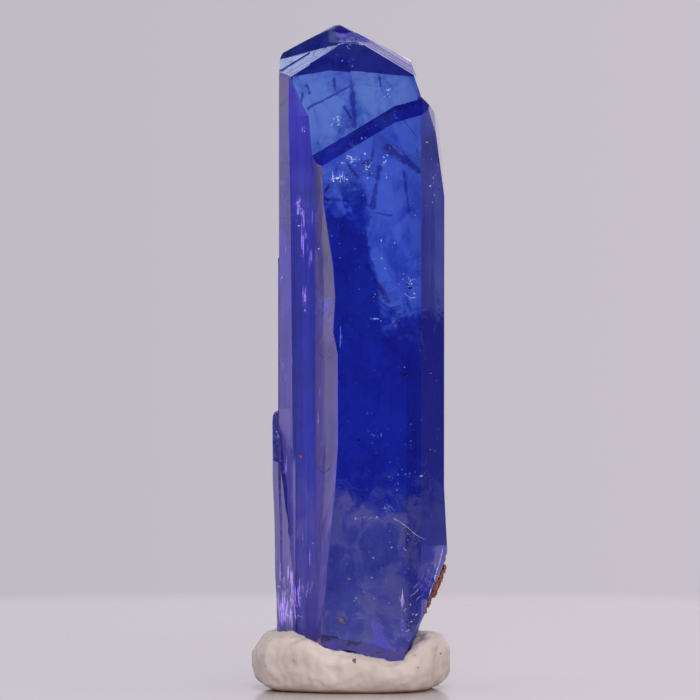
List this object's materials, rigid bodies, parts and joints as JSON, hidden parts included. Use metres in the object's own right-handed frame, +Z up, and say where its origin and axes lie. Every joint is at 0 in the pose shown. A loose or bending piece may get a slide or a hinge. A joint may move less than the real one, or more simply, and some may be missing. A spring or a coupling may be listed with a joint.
{
  "type": "tanzanite crystal",
  "caption": "Tall blue-violet tanzanite crystal with a roof-shaped end, parallel intergrown blades and a broken foot, held upright in a lump of white putty.",
  "frame": {"origin": "on the table, under the middle of the putty's outline", "axes": "+Z up along the crystal's length, -Y to the front with the wide front blade, +X to the viewer's right"},
  "size_m": [0.012, 0.0104, 0.0397],
  "materials": {
    "tanzanite": "clear, glossy faces with growth ribs, pleochroic blue to violet, rough where broken",
    "iron_stained_rock": "dull, crumbly",
    "white_putty": "soft, slightly waxy, pressed by finger"
  },
  "bodies": {
    "root": {"tanzanite_crystal": "tanzanite", "matrix_crust": "iron_stained_rock", "putty_base": "white_putty"}
  },
  "joints": []
}
